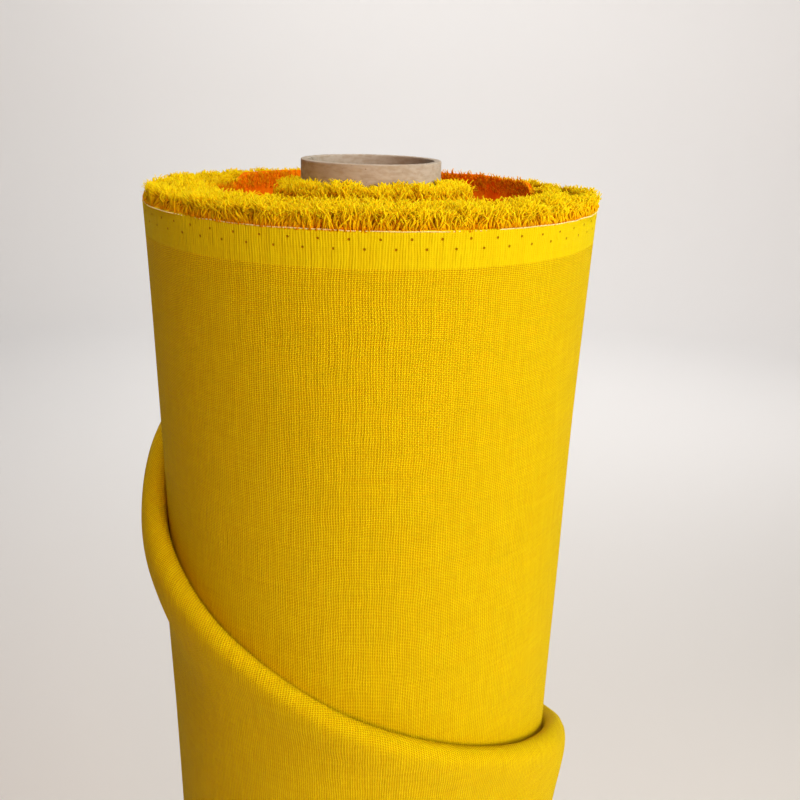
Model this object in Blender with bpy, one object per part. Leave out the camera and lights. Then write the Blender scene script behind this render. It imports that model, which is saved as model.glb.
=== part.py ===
"""A bolt of linen cloth, standing on end.

Cloth is wound on a cardboard tube that stands proud of it at the top. The middle turns lie a
little lower than the inner and outer ones, so a ring-shaped hollow runs round the tube. The last
lap has come loose: its top corner is folded in along a slanting line, and it hangs round the roll
like a skirt. Every turn ends in a fringe of cut weft threads, top and bottom.

Metres, +Z up, the floor at Z = 0 and the tube's axis on Z.
"""

import math

import bmesh
import bpy

# Clearances
GAP = 0.0003  # between pieces that touch

# Cardboard tube
TUBE_OUTER_RADIUS = 0.030
TUBE_WALL = 0.003
TUBE_LENGTH = 1.470

# Wound cloth
CLOTH_WIDTH = 1.450  # selvedge to selvedge
ROLL_RADIUS = 0.094  # over the outer turns, at half height
INNER_TURNS_RADIUS = 0.044  # where the inner turns end and the hollow begins
MIDDLE_TURNS_RADIUS = 0.072  # where the hollow ends and the outer turns begin
HOLLOW_DEPTH = 0.012  # how far the middle turns' edge lies below the others
END_FLARE = 0.0018  # how far the roll swells at each end
END_FLARE_REACH = 0.030  # height over which the swelling dies away

# Edge threads
TOP_FRINGE_HEIGHT = 0.009
BOTTOM_FRINGE_HEIGHT = 0.004  # crushed by the roll's weight
FRINGE_ROUNDING = 0.003
THREAD_THICKNESS = 0.0006
THREAD_HEIGHT = 0.001

# Pieces of tape that hold the cloth's first edge to the tube
TAPE_THICKNESS = 0.0004
TAPE_HEIGHT = 0.150
TAPE_PLACES = ("low", "middle", "high")
TAPE_STEPS = 4  # facets that each piece covers

# Loose last lap, seen from above it runs counter-clockwise
LAP_START_DEGREES = 36.0
LAP_STEPS = 67  # facets from where it leaves the roll to its cut end
FOLD_DEGREES = 26.5  # slope of the folded top edge
SHEET_THICKNESS = 0.0006
LIP_BULGE = 0.0092  # how far the fold stands out once it is fully open
LIP_BULGE_AT_START = 0.0020
LIP_OPENING_DEGREES = 130.0  # stretch over which the fold opens
CORNER_TUCK = 0.002  # top of the tucked corner, below the fold's foot
CORNER_END_STEPS = 2  # facets left free at each tip of the tucked corner

FACETS = 60  # round every turned piece, so nested pieces have parallel faces
FACET_DEGREES = 360.0 / FACETS

# Fold seen in section: height above its foot on the roll (metres), share of the bulge
LIP_SECTION = (
    (-0.008, 0.00),
    (-0.001, 0.08),
    (0.004, 0.35),
    (0.0035, 0.65),
    (-0.001, 0.90),
    (-0.008, 1.00),
    (-0.018, 0.88),
    (-0.030, 0.58),
    (-0.045, 0.28),
    (-0.062, 0.10),
    (-0.085, 0.00),
)

TUBE_COLOUR = (0.45, 0.36, 0.27)
TAPE_COLOUR = (0.72, 0.62, 0.42)
CLOTH_COLOUR = (0.83, 0.50, 0.02)
HOLLOW_COLOUR = (0.70, 0.25, 0.01)
FRINGE_COLOUR = (0.86, 0.58, 0.03)
THREAD_COLOUR = (0.90, 0.84, 0.66)

bottom_selvedge = BOTTOM_FRINGE_HEIGHT
top_selvedge = bottom_selvedge + CLOTH_WIDTH


def clear_scene():
    for obj in list(bpy.data.objects):
        bpy.data.objects.remove(obj, do_unlink=True)


def make_material(name, colour, roughness):
    material = bpy.data.materials.new(name)
    material.use_nodes = True
    shader = material.node_tree.nodes["Principled BSDF"]
    shader.inputs["Base Color"].default_value = (*colour, 1.0)
    shader.inputs["Roughness"].default_value = roughness
    shader.inputs["Metallic"].default_value = 0.0
    return material


def at_angle(radius, height, degrees):
    angle = math.radians(degrees)
    return (radius * math.cos(angle), radius * math.sin(angle), height)


def add_object(name, mesh_builder, material):
    bmesh.ops.recalc_face_normals(mesh_builder, faces=mesh_builder.faces[:])
    if mesh_builder.calc_volume(signed=True) < 0:
        bmesh.ops.reverse_faces(mesh_builder, faces=mesh_builder.faces[:])
    mesh = bpy.data.meshes.new(name)
    mesh_builder.to_mesh(mesh)
    mesh_builder.free()
    mesh.shade_smooth()
    mesh.set_sharp_from_angle(angle=math.radians(35.0))
    mesh.materials.append(material)
    obj = bpy.data.objects.new(name, mesh)
    bpy.context.scene.collection.objects.link(obj)
    return obj


def loft(mesh_builder, sections, closed):
    """Joins sections of equal point counts. Each section is a ring of points round one outline."""
    rows = [[mesh_builder.verts.new(point) for point in section] for section in sections]
    count = len(rows[0])
    pairs = list(zip(rows, rows[1:]))
    if closed:
        pairs.append((rows[-1], rows[0]))
    for row, following in pairs:
        for i in range(count):
            j = (i + 1) % count
            mesh_builder.faces.new((row[i], row[j], following[j], following[i]))
    return rows


def turned_ring(name, outline, material):
    """A ring whose section is a closed outline of (radius, height) points."""
    mesh_builder = bmesh.new()
    angles = [step * FACET_DEGREES for step in range(FACETS)]
    loft(mesh_builder, [[at_angle(r, z, a) for r, z in outline] for a in angles], closed=True)
    return add_object(name, mesh_builder, material)


def curved_sheet(mesh_builder, outer_and_inner, degrees):
    """A sheet bent round the axis. Each station is a row of outer and a row of inner points."""
    sections = []
    for (outer, inner), angle in zip(outer_and_inner, degrees):
        ring = outer + inner[::-1]
        sections.append([at_angle(r, z, angle) for r, z in ring])
    rows = loft(mesh_builder, sections, closed=False)
    across = len(outer_and_inner[0][0])
    for end in (rows[0], rows[-1]):
        for i in range(across - 1):
            opposite = len(end) - 1 - i
            mesh_builder.faces.new((end[i], end[i + 1], end[opposite - 1], end[opposite]))


def thicken(line, thickness):
    """Outer and inner rows at half a thickness each side of a section line, top to bottom."""
    outer = []
    inner = []
    for i, (radius, height) in enumerate(line):
        before = line[max(i - 1, 0)]
        after = line[min(i + 1, len(line) - 1)]
        run = after[0] - before[0]
        rise = after[1] - before[1]
        length = math.hypot(run, rise)
        side_r = -rise / length * thickness / 2
        side_z = run / length * thickness / 2
        outer.append((radius + side_r, height + side_z))
        inner.append((radius - side_r, height - side_z))
    return outer, inner


def roll_radius_at(height):
    """The roll's radius: it swells a little towards each selvedge."""
    from_bottom = max(height - bottom_selvedge, 0.0)
    from_top = max(top_selvedge - height, 0.0)
    swelling = math.exp(-from_bottom / END_FLARE_REACH) + math.exp(-from_top / END_FLARE_REACH)
    return ROLL_RADIUS + END_FLARE * swelling


def core_tube(material):
    inner = TUBE_OUTER_RADIUS - TUBE_WALL
    outline = [(TUBE_OUTER_RADIUS, 0.0), (TUBE_OUTER_RADIUS, TUBE_LENGTH), (inner, TUBE_LENGTH), (inner, 0.0)]
    turned_ring("core_tube", outline, material)


def start_tapes(material):
    """Short strips across the cloth's first edge, spread along the tube."""
    inner = TUBE_OUTER_RADIUS + GAP
    outer = inner + TAPE_THICKNESS
    degrees = [step * FACET_DEGREES for step in range(TAPE_STEPS + 1)]
    for i, place in enumerate(TAPE_PLACES):
        middle = bottom_selvedge + CLOTH_WIDTH * (i + 0.5) / len(TAPE_PLACES)
        top = middle + TAPE_HEIGHT / 2
        bottom = middle - TAPE_HEIGHT / 2
        station = ([(outer, top), (outer, bottom)], [(inner, top), (inner, bottom)])
        mesh_builder = bmesh.new()
        curved_sheet(mesh_builder, [station] * len(degrees), degrees)
        add_object("start_tape_" + place, mesh_builder, material)


def wound_ring(name, inner, outer, top, material):
    outline = [(outer, bottom_selvedge), (outer, top), (inner, top), (inner, bottom_selvedge)]
    turned_ring(name, outline, material)


def outer_turns(inner, material):
    from_end = [END_FLARE_REACH * share for share in (0.0, 0.35, 0.9, 1.8, 3.2)]
    heights = [bottom_selvedge + step for step in from_end] + [top_selvedge - step for step in from_end[::-1]]
    outline = [(roll_radius_at(height), height) for height in heights]
    outline += [(inner, top_selvedge), (inner, bottom_selvedge)]
    turned_ring("outer_turns", outline, material)


def top_fringe(name, inner, outer, selvedge, material):
    """A band of upright thread ends, rounded over at its outer edge."""
    foot = selvedge + GAP
    top = selvedge + TOP_FRINGE_HEIGHT
    outline = [
        (outer, foot),
        (outer, top - FRINGE_ROUNDING),
        (outer - FRINGE_ROUNDING, top),
        (inner, top),
        (inner, foot),
    ]
    turned_ring(name, outline, material)


def bottom_fringe(name, inner, outer, material):
    top = bottom_selvedge - GAP
    turned_ring(name, [(outer, 0.0), (outer, top), (inner, top), (inner, 0.0)], material)


def catch_thread(name, selvedge, direction, material):
    """A round of thick thread on the outer turn, just inside the selvedge."""
    far = selvedge + direction * THREAD_HEIGHT
    low = min(selvedge, far)
    high = max(selvedge, far)
    inner = max(roll_radius_at(low), roll_radius_at(high)) + GAP
    outer = inner + THREAD_THICKNESS
    turned_ring(name, [(outer, low), (outer, high), (inner, high), (inner, low)], material)


# The loose lap spirals outward, and its tucked corner lies between it and the roll.
thread_room = GAP + THREAD_THICKNESS
corner_offset = GAP + SHEET_THICKNESS / 2
lap_offset = max(corner_offset + SHEET_THICKNESS, thread_room + SHEET_THICKNESS / 2) + GAP
lap_growth = 2 * (SHEET_THICKNESS + GAP)  # per turn, so the overlap clears both layers beneath
arc_per_degree = math.radians(ROLL_RADIUS + lap_offset)
lap_degrees = LAP_STEPS * FACET_DEGREES
lap_arc = lap_degrees * arc_per_degree
fold_slope = math.tan(math.radians(FOLD_DEGREES))


def lap_shift(turned):
    return lap_growth * turned / 360.0


def fold_foot(turned):
    """Height of the fold's foot on the roll, after so many degrees from the lap's start."""
    return top_selvedge - fold_slope * turned * arc_per_degree


def lip_bulge(turned):
    share = min(turned / LIP_OPENING_DEGREES, 1.0)
    eased = share * share * (3 - 2 * share)
    return LIP_BULGE_AT_START + (LIP_BULGE - LIP_BULGE_AT_START) * eased


def lap_section(turned):
    foot = fold_foot(turned)
    bulge = lip_bulge(turned)
    line = []
    for rise, share in LIP_SECTION:
        height = foot + rise
        radius = roll_radius_at(min(height, top_selvedge)) + lap_offset + lap_shift(turned) + share * bulge
        line.append((radius, height))
    for height in (bottom_selvedge + END_FLARE_REACH * 1.8, bottom_selvedge + END_FLARE_REACH * 0.6, bottom_selvedge):
        line.append((roll_radius_at(height) + lap_offset + lap_shift(turned), height))
    return thicken(line, SHEET_THICKNESS)


def loose_lap(material):
    mesh_builder = bmesh.new()
    turned = [step * FACET_DEGREES for step in range(LAP_STEPS + 1)]
    degrees = [LAP_START_DEGREES + angle for angle in turned]
    curved_sheet(mesh_builder, [lap_section(angle) for angle in turned], degrees)
    add_object("loose_lap", mesh_builder, material)


def corner_edge(turned):
    """Lower edge of the tucked corner: the selvedge, then the cut end, mirrored in the fold."""
    arc = turned * arc_per_degree
    twice = math.radians(2 * FOLD_DEGREES)
    tip_arc = lap_arc * math.cos(twice)
    tip_drop = lap_arc * math.sin(twice)
    if arc <= tip_arc:
        return top_selvedge - arc * math.tan(twice)
    fold_end_drop = lap_arc * fold_slope
    along = (arc - tip_arc) / (lap_arc - tip_arc)
    return top_selvedge - (tip_drop + along * (fold_end_drop - tip_drop))


def tucked_corner(material):
    mesh_builder = bmesh.new()
    steps = range(CORNER_END_STEPS, LAP_STEPS - CORNER_END_STEPS + 1)
    turned = [step * FACET_DEGREES for step in steps]
    stations = []
    for angle in turned:
        top = fold_foot(angle) - CORNER_TUCK
        low = corner_edge(angle)
        heights = [top + (low - top) * share for share in (0.0, 0.3, 1.0)]
        offset = corner_offset + lap_shift(angle)
        line = [(roll_radius_at(height) + offset, height) for height in heights]
        stations.append(thicken(line, SHEET_THICKNESS))
    curved_sheet(mesh_builder, stations, [LAP_START_DEGREES + angle for angle in turned])
    add_object("tucked_corner", mesh_builder, material)


def lap_fringe(material):
    """The crushed fringe under the loose lap's hem."""
    mesh_builder = bmesh.new()
    turned = [step * FACET_DEGREES for step in range(LAP_STEPS + 1)]
    top = bottom_selvedge - GAP
    stations = []
    for angle in turned:
        radius = roll_radius_at(bottom_selvedge) + lap_offset + lap_shift(angle)
        stations.append(thicken([(radius, top), (radius, 0.0)], 2 * SHEET_THICKNESS))
    curved_sheet(mesh_builder, stations, [LAP_START_DEGREES + angle for angle in turned])
    add_object("bottom_fringe_lap", mesh_builder, material)


clear_scene()
cardboard = make_material("cardboard", TUBE_COLOUR, 0.85)
tape = make_material("paper_tape", TAPE_COLOUR, 0.6)
cloth = make_material("linen", CLOTH_COLOUR, 0.9)
shaded_cloth = make_material("linen_in_the_hollow", HOLLOW_COLOUR, 0.9)
fringe = make_material("fringe", FRINGE_COLOUR, 0.95)
cream = make_material("cream_thread", THREAD_COLOUR, 0.8)

cloth_bore = TUBE_OUTER_RADIUS + TAPE_THICKNESS + 2 * GAP
middle_bore = INNER_TURNS_RADIUS + GAP
outer_bore = MIDDLE_TURNS_RADIUS + GAP
hollow_floor = top_selvedge - HOLLOW_DEPTH
top_radius = roll_radius_at(top_selvedge)
bottom_radius = roll_radius_at(bottom_selvedge)

core_tube(cardboard)
start_tapes(tape)
wound_ring("inner_turns", cloth_bore, INNER_TURNS_RADIUS, top_selvedge, cloth)
wound_ring("middle_turns", middle_bore, MIDDLE_TURNS_RADIUS, hollow_floor, shaded_cloth)
outer_turns(outer_bore, cloth)
loose_lap(cloth)
tucked_corner(shaded_cloth)
top_fringe("top_fringe_inner", cloth_bore, INNER_TURNS_RADIUS, top_selvedge, fringe)
top_fringe("top_fringe_middle", middle_bore, MIDDLE_TURNS_RADIUS, hollow_floor, shaded_cloth)
top_fringe("top_fringe_outer", outer_bore, top_radius, top_selvedge, fringe)
bottom_fringe("bottom_fringe_inner", cloth_bore, INNER_TURNS_RADIUS, fringe)
bottom_fringe("bottom_fringe_middle", middle_bore, MIDDLE_TURNS_RADIUS, fringe)
bottom_fringe("bottom_fringe_outer", outer_bore, bottom_radius, fringe)
lap_fringe(fringe)
catch_thread("top_catch_thread", top_selvedge, -1, cream)
catch_thread("bottom_catch_thread", bottom_selvedge, 1, cream)
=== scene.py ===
import math

import bpy
import numpy as np
from mathutils import Matrix, Vector


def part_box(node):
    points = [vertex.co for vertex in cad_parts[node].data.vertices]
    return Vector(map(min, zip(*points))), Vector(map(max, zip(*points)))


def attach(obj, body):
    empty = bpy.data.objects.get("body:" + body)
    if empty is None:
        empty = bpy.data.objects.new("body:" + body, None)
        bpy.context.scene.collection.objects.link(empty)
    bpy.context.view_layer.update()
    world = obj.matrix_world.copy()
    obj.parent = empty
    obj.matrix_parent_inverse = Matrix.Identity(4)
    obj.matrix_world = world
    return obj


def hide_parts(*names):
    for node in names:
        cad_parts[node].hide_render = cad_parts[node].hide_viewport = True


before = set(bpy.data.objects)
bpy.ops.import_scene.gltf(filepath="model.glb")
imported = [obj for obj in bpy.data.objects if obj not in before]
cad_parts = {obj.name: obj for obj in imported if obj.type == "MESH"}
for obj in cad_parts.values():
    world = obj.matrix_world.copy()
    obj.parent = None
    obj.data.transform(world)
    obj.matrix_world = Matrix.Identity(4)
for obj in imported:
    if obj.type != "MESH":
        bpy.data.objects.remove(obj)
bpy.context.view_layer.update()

# ---------------------------------------------------------------------------------------------
# Cardboard tube. A spiral-wound core of grey-brown recycled board, cut square with a saw, so its
# rim is a little rough. It runs the roll's whole height and stands proud of the cloth at the top.

BODY = "root"  # tube and cloth stay together, so every piece rides on one body
TUBE_WALL = 0.003
TUBE_RIM_ROUNDING = 0.0004
TUBE_COLUMNS = 180
TUBE_PLY_TURN = 0.105  # height that one strip of board climbs in a turn
TUBE_SEAM = 0.006  # width of the seam between two strips, as a share of a turn
BOARD_RELIEF = 0.0003
RIM_ROUGHNESS = 0.00022
BOARD_LIGHT = (0.44, 0.405, 0.36)
BOARD_DARK = (0.36, 0.310, 0.25)
BOARD_FLECK = (0.13, 0.09, 0.06)


def surface(name, places, lengths, heights, closed=True):
    """A sheet of quads through rows of places. lengths and heights are its cloth or board map."""
    rows, columns = places.shape[:2]
    span = columns if closed else columns - 1
    row, column = np.meshgrid(np.arange(rows - 1), np.arange(span), indexing="ij")
    following = (column + 1) % columns
    quads = np.stack(
        [row * columns + column, row * columns + following,
         (row + 1) * columns + following, (row + 1) * columns + column], axis=-1).reshape(-1, 4)
    mesh = bpy.data.meshes.new(name)
    mesh.from_pydata(places.reshape(-1, 3).tolist(), [], quads.tolist())
    corner_row = np.stack([row, row, row + 1, row + 1], axis=-1).reshape(-1)
    corner_column = np.stack([column, column + 1, column + 1, column], axis=-1).reshape(-1)
    maps = {"measured": (lengths, heights), "OFBake": as_shares(lengths, heights)}
    for map_name, (across, up) in maps.items():
        layer = mesh.uv_layers.new(name=map_name)
        pairs = np.stack([across[corner_row, corner_column], up[corner_row, corner_column]], axis=-1)
        layer.uv.foreach_set("vector", pairs.astype(np.float32).reshape(-1))
    piece = bpy.data.objects.new(name, mesh)
    bpy.context.scene.collection.objects.link(piece)
    mesh.shade_smooth()
    return piece


def as_shares(lengths, heights):
    """The same map, one row or column after another, filling the square from 0 to 1."""
    rows, columns = lengths.shape
    across = np.broadcast_to(np.linspace(0.002, 0.998, columns), (rows, columns))
    steps = np.abs(np.diff(heights[:, columns // 2]))
    steps = np.maximum(steps, steps.max() * 0.02)
    climbed = np.concatenate([[0.0], np.cumsum(steps)])
    up = np.broadcast_to((climbed / climbed[-1] * 0.996 + 0.002)[:, None], (rows, columns))
    return across, up


def turned_places(radii, heights, columns):
    """Rows of places round the Z axis. radii may be one per row or one per row and column."""
    turn = np.arange(columns) * 2 * math.pi / columns
    radii = np.broadcast_to(np.reshape(radii, (len(heights), -1)), (len(heights), columns))
    heights = np.broadcast_to(np.reshape(heights, (len(heights), -1)), (len(heights), columns))
    return np.stack([radii * np.cos(turn), radii * np.sin(turn), heights], axis=-1)


class Nodes:
    """Short ways to wire a material's nodes together."""

    def __init__(self, name, roughness, sheen=0.0, sheen_colour=(1, 1, 1), specular=0.3):
        self.material = bpy.data.materials.new(name)
        self.material.use_nodes = True
        self.tree = self.material.node_tree
        self.shader = self.tree.nodes["Principled BSDF"]
        self.shader.inputs["Roughness"].default_value = roughness
        self.shader.inputs["Specular IOR Level"].default_value = specular
        self.shader.inputs["Specular Tint"].default_value = (*sheen_colour, 1.0)
        self.shader.inputs["Sheen Weight"].default_value = sheen
        self.shader.inputs["Sheen Roughness"].default_value = 0.5
        self.shader.inputs["Sheen Tint"].default_value = (*sheen_colour, 1.0)

    def put(self, socket, value):
        if isinstance(value, (int, float)):
            socket.default_value = value
        elif isinstance(value, tuple):
            socket.default_value = (*value, 1.0)[:len(socket.default_value)]
        else:
            self.tree.links.new(value, socket)

    def maths(self, operation, *values):
        node = self.tree.nodes.new("ShaderNodeMath")
        node.operation = operation
        for socket, value in zip(node.inputs, values):
            self.put(socket, value)
        return node.outputs[0]

    def times(self, first, second):
        return self.maths("MULTIPLY", first, second)

    def plus(self, first, second):
        return self.maths("ADD", first, second)

    def minus(self, first, second):
        return self.maths("SUBTRACT", first, second)

    def fade(self, value, start, end, low=0.0, high=1.0):
        """low where value is start, high where it is end, smooth between."""
        node = self.tree.nodes.new("ShaderNodeMapRange")
        node.interpolation_type = "SMOOTHSTEP"
        for socket, number in zip(node.inputs, (value, start, end, low, high)):
            self.put(socket, number)
        return node.outputs[0]

    def measured(self):
        """A piece's map as two numbers."""
        node = self.tree.nodes.new("ShaderNodeUVMap")
        node.uv_map = "measured"
        apart = self.tree.nodes.new("ShaderNodeSeparateXYZ")
        self.tree.links.new(node.outputs[0], apart.inputs[0])
        return apart.outputs[0], apart.outputs[1]

    def noise(self, x, y, scale=1.0, detail=2.0, z=0.0):
        joined = self.tree.nodes.new("ShaderNodeCombineXYZ")
        for socket, value in zip(joined.inputs, (x, y, z)):
            self.put(socket, value)
        node = self.tree.nodes.new("ShaderNodeTexNoise")
        self.tree.links.new(joined.outputs[0], node.inputs["Vector"])
        node.inputs["Scale"].default_value = scale
        node.inputs["Detail"].default_value = detail
        return node.outputs[0]

    def mix(self, share, first, second):
        node = self.tree.nodes.new("ShaderNodeMix")
        node.data_type = "RGBA"
        for socket, value in zip((node.inputs[0], node.inputs[6], node.inputs[7]), (share, first, second)):
            self.put(socket, value)
        return node.outputs[2]

    def bump(self, height, distance, strength=1.0):
        node = self.tree.nodes.new("ShaderNodeBump")
        node.inputs["Strength"].default_value = strength
        node.inputs["Distance"].default_value = distance
        self.tree.links.new(height, node.inputs["Height"])
        self.tree.links.new(node.outputs[0], self.shader.inputs["Normal"])

    def colour(self, value):
        self.put(self.shader.inputs["Base Color"], value)
        return self.material


def board_material():
    nodes = Nodes("grey_board", roughness=0.88, specular=0.2)
    around, up = nodes.measured()
    fibres = nodes.noise(around, nodes.times(up, 2.2), scale=260.0, detail=5.0)
    mottle = nodes.noise(around, up, scale=55.0, detail=3.0, z=4.0)
    flecks = nodes.noise(around, nodes.times(up, 1.6), scale=620.0, detail=1.0, z=9.0)
    tone = nodes.plus(nodes.times(fibres, 0.65), nodes.times(mottle, 0.35))
    paper = nodes.mix(nodes.fade(tone, 0.36, 0.62), BOARD_DARK, BOARD_LIGHT)
    flecked = nodes.mix(nodes.fade(flecks, 0.70, 0.78, 0.0, 0.6), paper, BOARD_FLECK)
    turns = nodes.maths("DIVIDE", around, 2 * math.pi * (tube_radius - TUBE_WALL / 2))
    climb = nodes.maths("DIVIDE", up, TUBE_PLY_TURN)
    along = nodes.maths("FRACT", nodes.plus(turns, climb))
    from_seam = nodes.maths("ABSOLUTE", nodes.minus(along, 0.5))
    seam = nodes.fade(from_seam, 0.0, TUBE_SEAM, 1.0, 0.0)
    seamed = nodes.mix(nodes.times(seam, 0.45), flecked, BOARD_FLECK)
    relief = nodes.minus(tone, seam)
    nodes.bump(relief, BOARD_RELIEF, 0.6)
    return nodes.colour(seamed)


tube_low, tube_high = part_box("core_tube")
tube_radius = tube_high.x
tube_bore = tube_radius - TUBE_WALL


def tube_profile():
    """Radius and height down the outside, under the foot, up the bore and over the rim."""
    turn = np.linspace(0, math.pi / 2, 4)
    ease = TUBE_RIM_ROUNDING
    near_end = np.array([0.001, 0.003, 0.006, 0.010, 0.015, 0.022, 0.035, 0.060])
    middle = np.linspace(tube_low.z + 0.1, tube_high.z - 0.1, 24)
    up = np.concatenate([[0.0], tube_low.z + near_end, middle, tube_high.z - near_end[::-1]])
    outside = [(tube_radius, z) for z in up[1:]]
    corner_radius = tube_radius - ease
    corner_height = tube_high.z - ease
    outer_corner = [(corner_radius + ease * math.cos(a), corner_height + ease * math.sin(a)) for a in turn]
    face = [(tube_radius - TUBE_WALL * share, tube_high.z) for share in (0.3, 0.45, 0.6, 0.75)]
    inner_corner = [(tube_bore + ease - ease * math.sin(a), corner_height + ease * math.cos(a)) for a in turn]
    inside = [(tube_bore, z) for z in up[:0:-1]]
    foot = [(tube_bore + ease, tube_low.z), (corner_radius, tube_low.z)]
    foot.append((tube_radius, tube_low.z + ease))
    return np.array(outside + outer_corner + face + inner_corner + inside + foot + outside[:1])


def make_tube():
    profile = tube_profile()
    rng = np.random.default_rng(3)
    places = turned_places(profile[:, 0], profile[:, 1], TUBE_COLUMNS)
    at_rim = np.clip(1 - (tube_high.z - profile[:, 1]) / 0.0015, 0, 1)[:, None]
    places[..., 2] -= at_rim * rng.uniform(0.0, RIM_ROUGHNESS, places.shape[:2])
    places[..., 0] *= 1 + at_rim * rng.normal(0, 0.0012, places.shape[:2])
    places[-1] = places[0]
    walked = np.concatenate([[0], np.cumsum(np.hypot(*np.diff(profile, axis=0).T))])
    columns = np.arange(TUBE_COLUMNS + 1) / TUBE_COLUMNS
    lengths = np.broadcast_to(columns * 2 * math.pi * tube_radius, (len(profile), TUBE_COLUMNS + 1))
    heights = np.broadcast_to(walked[:, None], lengths.shape)
    tube = surface("cardboard_tube", places, lengths, heights)
    tube.data.materials.append(board_material())
    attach(tube, BODY)
    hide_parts("core_tube")


make_tube()

# ---------------------------------------------------------------------------------------------
# Paper tape. Three short lengths of brown crepe tape held the cloth's first edge to the tube
# while the roll was started. They stay buried under all the turns.

TAPE_LIGHT = (0.70, 0.58, 0.36)
TAPE_DARK = (0.55, 0.43, 0.24)
CREPE_RELIEF = 0.0002


def tape_material():
    nodes = Nodes("crepe_tape", roughness=0.7)
    place = nodes.tree.nodes.new("ShaderNodeTexCoord")
    apart = nodes.tree.nodes.new("ShaderNodeSeparateXYZ")
    nodes.tree.links.new(place.outputs["Object"], apart.inputs[0])
    sideways = nodes.times(apart.outputs[0], 6.0)
    creases = nodes.noise(sideways, apart.outputs[2], scale=900.0, detail=3.0)
    nodes.bump(creases, CREPE_RELIEF)
    return nodes.colour(nodes.mix(nodes.fade(creases, 0.35, 0.65), TAPE_DARK, TAPE_LIGHT))


tape = tape_material()
for place in ("low", "middle", "high"):
    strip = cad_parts["start_tape_" + place]
    strip.data.materials.clear()
    strip.data.materials.append(tape)

# ---------------------------------------------------------------------------------------------
# Wound turns. One length of plain-weave linen, piece-dyed a deep yellow and wound softly on the
# tube. The middle turns ran a little low and to one side, so a hollow shows that is widest at the
# back. There one turn has crept up out of the rest, and at the right two turns have parted.

WEFT_PITCH = 0.00098  # the weft yarns run up the roll and are thicker
WARP_PITCH = 0.00068  # the warp yarns run round it
YARN_WANDER = 0.0018
SELVEDGE_BAND = 0.0135  # ends packed into close ribs, pricked by the stenter frame's pins
PIN_PITCH = 0.01035
PIN_ROWS = ((0.0030, 0.0), (0.0064, 0.5))  # distance in from the selvedge, share of the pitch
PIN_HOLE = 0.00038
PIN_DEPTH = 1.4  # as a share of the weave's own depth
WEAVE_DEPTH = 0.00036
SLUB_HEIGHT = 2.6  # thick places in the yarns, as a share of the weave's own depth
# Painted shade: the yarns' sides and the gaps between them are coloured darker and redder than the tops.
YARN_TOP = (0.88, 0.725, 0.004)
YARN_SIDE_SHADE = (0.84, 0.630, 0.003)
YARN_GAP_SHADE = (0.56, 0.280, 0.001)
BAND_COLOUR = (0.69, 0.560, 0.003)
# Painted shade: the pin holes are coloured dark for the shade inside them.
PIN_HOLE_SHADE = (0.42, 0.130, 0.001)
LINEN_TINT = (1.0, 0.62, 0.02)
ROLL_RADIUS = 0.0938
RING_GAP = 0.0003  # left between one stretch of turns and the next
TUBE_GAP = 0.0004
END_FLARE = 0.0020
END_FLARE_REACH = 0.060
TOP_SWAY = Vector((0.0006, 0.0))  # the roll's top is pushed a little to one side
TOP_SWAY_REACH = 0.090
TURN_PITCH = 0.0011  # the ridges that two or three turns' edges make together
RIDGE_HEIGHT = 0.0007
RIDGE_UNEVEN = 0.0004
ROLL_COLUMNS = 180
RIPPLE_WAVES = 9
HOLLOW_SHIFT = 0.009
HOLLOW_WIDEST = math.radians(80)
CREPT_FROM = (math.radians(15), math.radians(150))
CREPT_RISE = 0.0050
CREPT_THICKNESS = 0.0022
PARTED_FROM = (math.radians(-28), math.radians(34))
PARTED_RADIUS = 0.0872
PARTED_WIDTH = 0.0036
PARTED_DEPTH = 0.008
# Painted shade and painted glow: the hollow's walls, bore and turn edges are coloured deep orange for the
# shade there and the light that passes through the thin cloth.
SHADED_TOP = (0.88, 0.240, 0.002)
SHADED_SIDE = (0.84, 0.190, 0.001)
SHADED_GAP = (0.62, 0.090, 0.001)


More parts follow.
